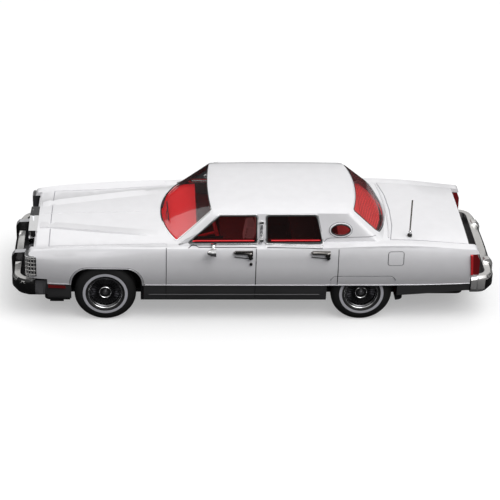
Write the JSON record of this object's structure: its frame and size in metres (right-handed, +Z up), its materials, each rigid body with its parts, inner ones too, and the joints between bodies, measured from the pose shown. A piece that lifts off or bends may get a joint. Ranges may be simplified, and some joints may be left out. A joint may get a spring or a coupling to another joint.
{
  "type": "scale model of a full-size luxury sedan",
  "caption": "Collector's scale model of a long four-door luxury sedan: sealed body over a baseplate, rolling on two wheelsets, with a display plinth fixing below.",
  "frame": {"origin": "on the ground under the middle of the overall length and width", "axes": "+X to the car's rear, +Y to the car's right side, +Z up"},
  "size_m": [0.143, 0.0522, 0.0369],
  "materials": {
    "antenna_black": "dark metal",
    "base_plastic": "satin black moulding",
    "body_paint": "gloss white paint",
    "chrome": "bright plated",
    "clear_lens": "clear lens with a bright grid",
    "dark_chrome": "dark bright plated",
    "glazing": "clear moulded glazing",
    "interior_red": "satin red moulding",
    "red_lens": "translucent red lens",
    "seat_red": "satin red moulding, ribbed",
    "steel": "plain steel",
    "tyre": "matte black with a thin white wall",
    "wheel_chrome": "bright plated"
  },
  "bodies": {
    "car": {"antenna": "antenna_black", "body_shell": "body_paint", "chassis": "base_plastic", "coach_lamp_left": "chrome", "coach_lamp_right": "chrome", "dashboard": "interior_red", "door_handles": "chrome", "door_mirror_left": "chrome", "door_mirror_right": "chrome", "exhaust": "steel", "front_bumper": "chrome", "front_filler": "base_plastic", "front_lamp_left": "clear_lens", "front_lamp_right": "clear_lens", "front_seat": "seat_red", "grille": "chrome", "headlamp_door_left": "body_paint", "headlamp_door_right": "body_paint", "hood_ornament": "chrome", "interior_tub": "interior_red", "rear_bumper": "chrome", "rear_filler": "base_plastic", "rear_panel": "red_lens", "rear_seat": "seat_red", "rear_window": "glazing", "rear_window_frame": "chrome", "side_glass_left": "glazing", "side_glass_right": "glazing", "sill_moulding_left": "dark_chrome", "sill_moulding_right": "dark_chrome", "steering_wheel": "interior_red", "tail_lamp_left": "red_lens", "tail_lamp_right": "red_lens", "window_frames_left": "chrome", "window_frames_right": "chrome", "windscreen": "glazing", "windscreen_frame": "chrome", "wipers": "antenna_black"},
    "front_wheelset": {"axle_front": "steel", "rim_front_left": "wheel_chrome", "rim_front_right": "wheel_chrome", "tyre_front_left": "tyre", "tyre_front_right": "tyre"},
    "rear_wheelset": {"axle_rear": "steel", "rim_rear_left": "wheel_chrome", "rim_rear_right": "wheel_chrome", "tyre_rear_left": "tyre", "tyre_rear_right": "tyre"}
  },
  "joints": [
    {"name": "front_wheels_roll", "type": "hinge", "parent": "car", "child": "front_wheelset", "pos_m": [-0.04372, 0, 0.009], "axis": [0, 1, 0], "continuous": true},
    {"name": "rear_wheels_roll", "type": "hinge", "parent": "car", "child": "rear_wheelset", "pos_m": [0.03142, 0, 0.009], "axis": [0, 1, 0], "continuous": true}
  ]
}
